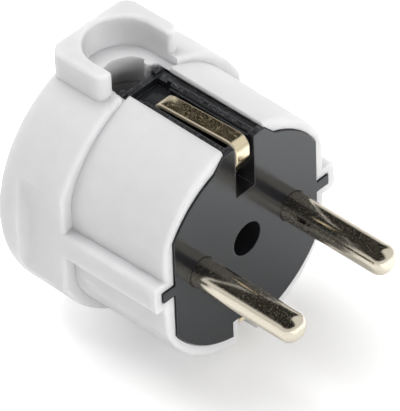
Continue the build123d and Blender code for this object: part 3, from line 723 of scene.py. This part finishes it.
def filleted_route(corners, radii, step):
    """A flat route through corners: straight runs joined by arcs that are tangent to both.

    At a corner with turn angle t and radius r, the arc starts r tan(t/2) before the corner. Its
    points are the centre plus r times a unit vector swept from one tangent point to the other.
    Straight runs get points about a step apart, so the surface's texture and edges stay even.
    """
    corners = [np.array(c, float) for c in corners]
    pieces = [corners[0][None, :]]
    for before, corner, after, radius in zip(corners, corners[1:], corners[2:], radii):
        into = (corner - before) / np.linalg.norm(corner - before)
        away = (after - corner) / np.linalg.norm(after - corner)
        side = math.copysign(1.0, into[0] * away[1] - into[1] * away[0])
        turn = math.acos(max(-1.0, min(1.0, float(into @ away))))
        start = corner - into * radius * math.tan(turn / 2)
        normal = np.array([-into[1], into[0]]) * side
        centre = start + normal * radius
        angle = side * np.linspace(0, turn, max(6, int(turn * radius / step)))
        spoke = -normal * radius
        arc = centre + np.stack([spoke[0] * np.cos(angle) - spoke[1] * np.sin(angle),
                                 spoke[0] * np.sin(angle) + spoke[1] * np.cos(angle)], axis=1)
        pieces += [straight_run(pieces[-1][-1], start, step)[:-1], arc]
    return np.concatenate([*pieces, straight_run(pieces[-1][-1], corners[-1], step)])


def rolled_band(corners, radii, half_width, thickness, edge, step=0.35 * MM):
    """A bent strip: a rounded rectangle carried along a filleted route in the YZ plane.

    The section's width lies along X and its thickness along the route's normal. Towards each end
    the section draws in on a quarter circle of the edge radius, which rounds the end's rim.
    """
    route = filleted_route(corners, radii, step)
    tangent = np.gradient(route, axis=0)
    tangent /= np.linalg.norm(tangent, axis=1)[:, None]
    draw = np.linspace(math.pi / 2, 0, END_ROWS + 1)[:-1]
    inset, back = edge * (1 - np.cos(draw)), edge * np.sin(draw) - edge
    first = route[0] - tangent[0] * back[:, None] - tangent[0] * edge
    last = (route[-1] + tangent[-1] * back[:, None] + tangent[-1] * edge)[::-1]
    route = np.concatenate([first, route[1:-1], last])
    tangent = np.concatenate([np.repeat(tangent[:1], END_ROWS, axis=0), tangent[1:-1],
                              np.repeat(tangent[-1:], END_ROWS, axis=0)])
    shrink = np.concatenate([inset, np.zeros(len(route) - 2 * END_ROWS), inset[::-1]])
    normal = np.stack([-tangent[:, 1], tangent[:, 0]], axis=1)
    section = rounded_rectangle(half_width, thickness / 2, edge)
    limit = np.array([half_width, thickness / 2])
    sections = section[None] * (1 - shrink[:, None, None] / limit[None, None, :])
    rings = np.empty((len(route), len(section), 3))
    rings[..., 0] = sections[..., 0]
    rings[..., 1] = route[:, None, 0] + sections[..., 1] * normal[:, None, 0]
    rings[..., 2] = route[:, None, 1] + sections[..., 1] * normal[:, None, 1]
    return capped_tube(rings)


def holed_plate(half_width, foot, top, corner, hole, y_middle, thickness, edge):
    """A rounded plate with a round hole, as one closed ring.

    The outline is a rounded rectangle, and the hole's circle has its points at the same angles.
    On the face towards +Y the rows run from the outline to the circle, and each rim is a quarter
    arc of the edge radius. The other face has the same rows backwards, on the other side.
    """
    outline = rounded_rectangle(half_width, (top - foot) / 2, corner, corner_steps=8, side_steps=8)
    outline[:, 1] += (top + foot) / 2
    angle = np.arctan2(outline[:, 1], outline[:, 0])
    circle = hole * np.stack([np.cos(angle), np.sin(angle)], axis=1)
    inward = circle - outline
    inward /= np.linalg.norm(inward, axis=1)[:, None]
    bend = np.linspace(0, math.pi / 2, RIM_POINTS)
    inset = edge * (1 - np.cos(bend))[:, None, None]
    lift = thickness / 2 - edge + edge * np.sin(bend)
    front = np.concatenate([outline + inward * inset, circle - inward * inset[::-1]])
    flat = np.concatenate([front, front[::-1]])
    level = np.concatenate([lift, lift[::-1]])
    depth = y_middle + np.concatenate([level, -level[::-1]])
    rings = np.stack([flat[..., 0], np.repeat(depth[:, None], len(outline), 1), flat[..., 1]], axis=-1)
    quads = grid_quads(len(rings), len(outline), closed_rows=True)
    return outward(rings.reshape(-1, 3), quads, np.empty((0, 3), int))


def threaded_shank(radius, length, pitch, depth):
    """A threaded rod along -Y from Y = 0: a cylinder whose radius follows a helix.

    At angle a and distance d down the rod, the phase is a / 2 pi + d / pitch. The radius is the
    core plus the thread's depth times a flat-topped wave of the phase. The wave fades in under the
    head and out at the end, where the rod tapers by half that depth and a pole closes it.
    """
    around = np.linspace(0, 2 * math.pi, THREAD_SIDES, endpoint=False)
    down = np.linspace(0, length, int(length / pitch * THREAD_ROWS))
    phase = (around[None, :] / (2 * math.pi) + down[:, None] / pitch) % 1.0
    wave = np.clip(WAVE_CREST - WAVE_SLOPE * np.abs(phase - 0.5), 0, 1)
    left = length - down
    fade = np.clip(down / pitch - PLAIN_NECK, 0, 1) * np.clip(left / (RUN_OUT * pitch), 0, 1)
    taper = np.clip(left / (END_TAPER * pitch), 0, 1)
    reach = radius - depth + depth * wave * fade[:, None] - 0.5 * depth * (1 - taper)[:, None]
    rings = np.stack([reach * np.cos(around), np.repeat(-down[:, None], len(around), 1),
                      reach * np.sin(around)], axis=-1)
    return capped_tube(rings)


def slotted_head(radius, height, slot_width, slot_depth, edge):
    """A round head from Y = 0 up to its height, with a slot across it along X.

    Stations run across the slot along Z: rim, rounded edge, slot wall down, floor, wall up, edge
    and rim. Each station is a chord of the circle, so its points are the chord's half length times
    a share from -1 to 1. Both ends of each chord drop to the underside, which closes the head.
    """
    half = slot_width / 2
    bend = np.linspace(0, math.pi / 2, RIM_POINTS)
    outer = radius - edge + edge * np.cos(bend)
    lift = height - edge + edge * np.sin(bend)
    land = np.linspace(radius - edge, half, LAND_STATIONS + 1)[1:]
    flat = np.full(LAND_STATIONS, height)
    foot = half - SLOT_DRAFT
    across = np.concatenate([outer, land, [foot, -foot], -land[::-1], -outer[::-1]])
    level = np.concatenate([lift, flat, [height - slot_depth] * 2, flat, lift[::-1]])
    share = np.sin(np.linspace(-math.pi / 2, math.pi / 2, CHORD_POINTS))
    chord = np.sqrt(np.clip(radius**2 - across**2, (SHORTEST_CHORD * radius) ** 2, None))
    x = chord[:, None] * share[None, :]
    z = np.repeat(across[:, None], len(share), 1)
    reach = np.sqrt(x**2 + z**2)
    drop = np.clip(reach - (radius - edge), 0, edge)
    rim = height - edge + np.sqrt(np.clip(edge**2 - drop**2, 0, None))
    y = np.minimum(np.repeat(level[:, None], len(share), 1), rim)
    top = np.stack([x, y, z], axis=-1)
    under = top.copy()
    under[..., 1] = 0.0
    rings = np.concatenate([top, under[:, ::-1]], axis=1)
    return capped_tube(rings)


# Operators

class PLUG_OT_shell(bpy.types.Operator):
    """Finish the white hood and the cord clamp"""

    bl_idname = "plug.shell"
    bl_label = "Hood and clamp"

    def execute(self, context):
        dress_nodes(["hood", "cord_clamp"], shell_material(context.scene.plug_plastic))
        return {"FINISHED"}


class PLUG_OT_insert(bpy.types.Operator):
    """Finish the dark contact carrier"""

    bl_idname = "plug.insert"
    bl_label = "Contact carrier"

    def execute(self, context):
        dress_nodes(["contact_carrier"], insert_material(context.scene.plug_plastic))
        return {"FINISHED"}


class PLUG_OT_pins(bpy.types.Operator):
    """Finish the two plated pins"""

    bl_idname = "plug.pins"
    bl_label = "Pins"

    def execute(self, context):
        dress_nodes(["pin_left", "pin_right"], pin_material(context.scene.plug_metal))
        return {"FINISHED"}


class PLUG_OT_earth_strip(bpy.types.Operator):
    """Model the bent earth strip: upper and lower contact leg, and the bridge between them"""

    bl_idname = "plug.earth_strip"
    bl_label = "Earth strip"

    def execute(self, context):
        size = context.scene.plug_strip
        brass = strip_material(context.scene.plug_metal)
        half = size.thickness / 2
        low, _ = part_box("earth_strip")
        upper = [(FRONT_LEG_Y, FRONT_LEG_Z), (size.front_y, UPPER_FRONT_Z - 2 * FOLD_RADIUS),
                 (size.front_y, UPPER_FRONT_Z), (size.plate_y, UPPER_REAR_Z),
                 (size.plate_y, size.bridge_top - LAP)]
        lower = [(size.plate_y, size.bridge_foot + LAP), (size.plate_y, low.z + half),
                 (TOE_Y, low.z + half), (TOE_END_Y, TOE_END_Z)]
        plate = holed_plate(size.bridge_half, size.bridge_foot, size.bridge_top, size.bridge_corner,
                            size.hole_radius, size.plate_y, size.thickness - PLATE_RELIEF,
                            size.edge_radius)
        bands = [rolled_band(upper, (FOLD_RADIUS, FOLD_RADIUS, REAR_RADIUS), size.half_width,
                             size.thickness, size.edge_radius),
                 rolled_band(lower, (REAR_RADIUS, TOE_RADIUS), size.half_width,
                             size.thickness, size.edge_radius)]
        mesh_piece("earth_strip_formed", [*bands, plate], brass, ["earth_strip"])
        return {"FINISHED"}


class PLUG_OT_terminals(bpy.types.Operator):
    """Finish the brass terminal block and the threaded bush"""

    bl_idname = "plug.terminals"
    bl_label = "Terminal block and bush"

    def execute(self, context):
        colours = context.scene.plug_metal
        brass = turned_material("cut_brass", colours.terminal_colour, TERMINAL_SHADE,
                                TERMINAL_ROUGHNESS)
        dress_nodes(["earth_terminal", "threaded_bush"], brass)
        return {"FINISHED"}


class PLUG_OT_screws(bpy.types.Operator):
    """Model the slotted screws with their threads, and finish the washer and the lock rings"""

    bl_idname = "plug.screws"
    bl_label = "Screws, washer and rings"

    def execute(self, context):
        size = context.scene.plug_screw
        colours = context.scene.plug_metal
        zinc = turned_material("zinc_plating", colours.screw_colour, SCREW_SHADE, SCREW_ROUGHNESS)
        dress_nodes(["housing_screw_washer", "pin_lock_ring_left", "pin_lock_ring_right"], zinc)
        for name, (radius, head_height, facing) in SCREWS.items():
            thread = getattr(size, radius)
            low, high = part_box(name)
            head = slotted_head((high.x - low.x) / 2, head_height, size.slot_width, size.slot_depth,
                                size.head_edge)
            shank = threaded_shank(thread, high.y - low.y - head_height, size.pitch, size.thread_depth)
            middle = np.array([(low.x + high.x) / 2, 0.0, (low.z + high.z) / 2])
            seat = high.y - head_height if facing > 0 else low.y + head_height
            shells = []
            for points, quads, triangles in (head, shank):
                turned = points * np.array([facing, facing, 1.0]) + middle + np.array([0, seat, 0])
                shells.append(outward(turned, quads, triangles))
            mesh_piece(name + "_threaded", shells, zinc, [name])
        return {"FINISHED"}


class PLUG_OT_stage(bpy.types.Operator):
    """Lay the floor, hang the lamps and set the camera where the photograph was taken from"""

    bl_idname = "plug.stage"
    bl_label = "Floor, lamps and camera"

    def execute(self, context):
        stage = context.scene.plug_stage
        low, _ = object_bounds()
        lay_floor(stage, low.z)
        hang_lamps()
        set_world(context.scene)
        set_camera(context.scene, stage)
        context.scene.view_settings.view_transform = "Standard"
        return {"FINISHED"}


def floor_material(stage):
    """A pale matt floor that gives off painted light.

    For the camera it glows least round the plug's front, a painted shadow, and more behind it and
    ahead of it. A patch in front and to the right gives off light for all rays, which the dark face's
    top mirrors as a painted reflection.
    """
    material, tree, shader = start_material("floor_pale")
    grain = place_group(tree, "fine_grain", Size=2 * MM)
    darker, plain = rgba(stage.floor_colour, 0.995), rgba(stage.floor_colour)
    seen = add(tree, "ShaderNodeLightPath").outputs["Is Camera Ray"]
    across, depth, _ = split(tree, object_place(tree))
    # Painted light for the camera: lighter behind and ahead of the plug, darkest round its front as a
    # painted shadow
    behind = plus(tree, GLOW_LEVEL, times(tree, ramp(tree, depth, *BEHIND_START), PAINTED_LIGHT_BEHIND))
    ahead = times(tree, opposite(tree, ramp(tree, depth, *AHEAD_END)), PAINTED_LIGHT_AHEAD)
    # Painted light for all rays, in a patch that the dark face mirrors as a painted reflection
    apart = maths(tree, "SUBTRACT", across, depth)
    patch = times(tree, times(tree, ramp(tree, apart, *PATCH_START), PAINTED_REFLECTION_LIGHT),
                  opposite(tree, ramp(tree, apart, *PATCH_END)))
    fill(tree, shader, {
        "Base Color": blend_colour(tree, grain["Drift"], darker, plain),
        "Roughness": 0.85,
        "Specular IOR Level": 0.2,
        "Emission Color": plus(tree, patch, times(tree, plus(tree, behind, ahead), seen)),
        "Emission Strength": stage.floor_painted_light,
    })
    return material


def lay_floor(stage, height):
    """A wide flat floor under the plug, as a grid of quads."""
    side = FLOOR_CELLS + 1
    reach = stage.floor_reach * np.linspace(-1, 1, side)
    x, y = np.meshgrid(reach, reach, indexing="ij")
    points = np.stack([x, y, np.full_like(x, height)], axis=-1).reshape(-1, 3)
    row, column = np.divmod(np.arange(FLOOR_CELLS**2), FLOOR_CELLS)
    corner = row * side + column
    faces = np.stack([corner, corner + side, corner + side + 1, corner + 1], axis=1)
    mesh = bpy.data.meshes.new("floor")
    mesh.from_pydata(points.tolist(), [], faces.tolist())
    floor = bpy.data.objects.new("floor", mesh)
    bpy.context.scene.collection.objects.link(floor)
    dress(floor, floor_material(stage))
    floor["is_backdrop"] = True


def aim(from_point, to_point):
    """The rotation that points an object's -Z from one point to another."""
    return (Vector(to_point) - Vector(from_point)).to_track_quat("-Z", "Y")


def hang_lamps():
    """Large soft lamps that all look at the plug."""
    for name, place, (width, height), power in LAMPS:
        lamp = bpy.data.lights.new(name, "AREA")
        lamp.shape = "RECTANGLE"
        lamp.size = width
        lamp.size_y = height
        lamp.energy = power
        hung = bpy.data.objects.new(name, lamp)
        bpy.context.scene.collection.objects.link(hung)
        hung.visible_glossy = False
        hung.location = place
        hung.rotation_mode = "QUATERNION"
        hung.rotation_quaternion = aim(place, (0, 0, 0))


def set_world(scene):
    """A dim room round the lamps, and plain white where the camera looks past the floor."""
    world = bpy.data.worlds.new("room")
    world.use_nodes = True
    tree = world.node_tree
    tree.nodes.clear()
    way = split(tree, add(tree, "ShaderNodeTexCoord").outputs["Generated"])
    front = opposite(tree, ramp(tree, way["Y"], *TENT_FRONT))
    tent = times(tree, front, ramp(tree, way["X"], *TENT_SIDE))
    horizon = opposite(tree, ramp(tree, way["Z"], *HORIZON_TOP))
    light = maths(tree, "MAXIMUM", tent, horizon)
    dim = blend_colour(tree, light, rgba(ROOM_DIM), rgba(ROOM_LIGHT))
    seen = add(tree, "ShaderNodeLightPath").outputs["Is Camera Ray"]
    shown = blend_colour(tree, seen, dim, rgba((1.0, 1.0, 1.0)))
    background = add(tree, "ShaderNodeBackground", {"Color": shown, "Strength": 1.0})
    add(tree, "ShaderNodeOutputWorld", {"Surface": background.outputs[0]})
    scene.world = world


def set_camera(scene, stage):
    """The camera that sees the middle of the dark face at its place in the frame."""
    back = Vector((math.sin(stage.azimuth) * math.cos(stage.elevation),
                   -math.cos(stage.azimuth) * math.cos(stage.elevation),
                   math.sin(stage.elevation)))
    right = (-back).cross(Vector((0, 0, 1))).normalized()
    up = right.cross(-back)
    turned_right = right * math.cos(stage.roll) + up * math.sin(stage.roll)
    turned_up = up * math.cos(stage.roll) - right * math.sin(stage.roll)
    metres_a_px = stage.distance / stage.focal_px
    aside = (stage.face_px[0] - FRAME_WIDTH / 2) * metres_a_px
    above = (FRAME_HEIGHT / 2 - stage.face_px[1]) * metres_a_px
    place = back * stage.distance - turned_right * aside - turned_up * above
    lens = bpy.data.cameras.new("camera")
    lens.sensor_width = SENSOR
    lens.lens = stage.focal_px * SENSOR / max(FRAME_WIDTH, FRAME_HEIGHT)
    lens.clip_start = 10 * MM
    camera = bpy.data.objects.new("camera", lens)
    scene.collection.objects.link(camera)
    axes = Matrix((turned_right, turned_up, back)).transposed()
    camera.matrix_world = Matrix.Translation(place) @ axes.to_4x4()
    scene.camera = camera


class PLUG_PT_panel(bpy.types.Panel):
    """Lists the plug's settings and the operators that make it"""

    bl_label = "Angled plug"
    bl_idname = "PLUG_PT_panel"
    bl_space_type = "VIEW_3D"
    bl_region_type = "UI"
    bl_category = "Plug"

    def draw(self, context):
        for title, kinds in SECTIONS:
            box = self.layout.box()
            settings = getattr(context.scene, title)
            for key in settings.__annotations__:
                box.prop(settings, key)
            for kind in kinds:
                box.operator(kind.bl_idname)


SETTINGS = {
    "plug_plastic": PlasticSettings,
    "plug_metal": MetalSettings,
    "plug_strip": StripSettings,
    "plug_screw": ScrewSettings,
    "plug_stage": StageSettings,
}

OPERATORS = (
    PLUG_OT_shell,
    PLUG_OT_insert,
    PLUG_OT_pins,
    PLUG_OT_earth_strip,
    PLUG_OT_terminals,
    PLUG_OT_screws,
    PLUG_OT_stage,
)

SECTIONS = (
    ("plug_plastic", (PLUG_OT_shell, PLUG_OT_insert)),
    ("plug_metal", (PLUG_OT_pins, PLUG_OT_terminals)),
    ("plug_strip", (PLUG_OT_earth_strip,)),
    ("plug_screw", (PLUG_OT_screws,)),
    ("plug_stage", (PLUG_OT_stage,)),
)


def register():
    """Registers the settings, the operators and the panel."""
    for kind in (*SETTINGS.values(), *OPERATORS, PLUG_PT_panel):
        bpy.utils.register_class(kind)
    for title, kind in SETTINGS.items():
        setattr(bpy.types.Scene, title, bpy.props.PointerProperty(type=kind))


def unregister():
    """Takes the settings, the operators and the panel away again."""
    for title in SETTINGS:
        delattr(bpy.types.Scene, title)
    for kind in reversed((*SETTINGS.values(), *OPERATORS, PLUG_PT_panel)):
        bpy.utils.unregister_class(kind)


def main():
    """Makes the whole plug in order."""
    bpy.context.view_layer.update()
    register()
    for kind in OPERATORS:
        area, action = kind.bl_idname.split(".")
        getattr(getattr(bpy.ops, area), action)()


if __name__ == "__main__":
    main()
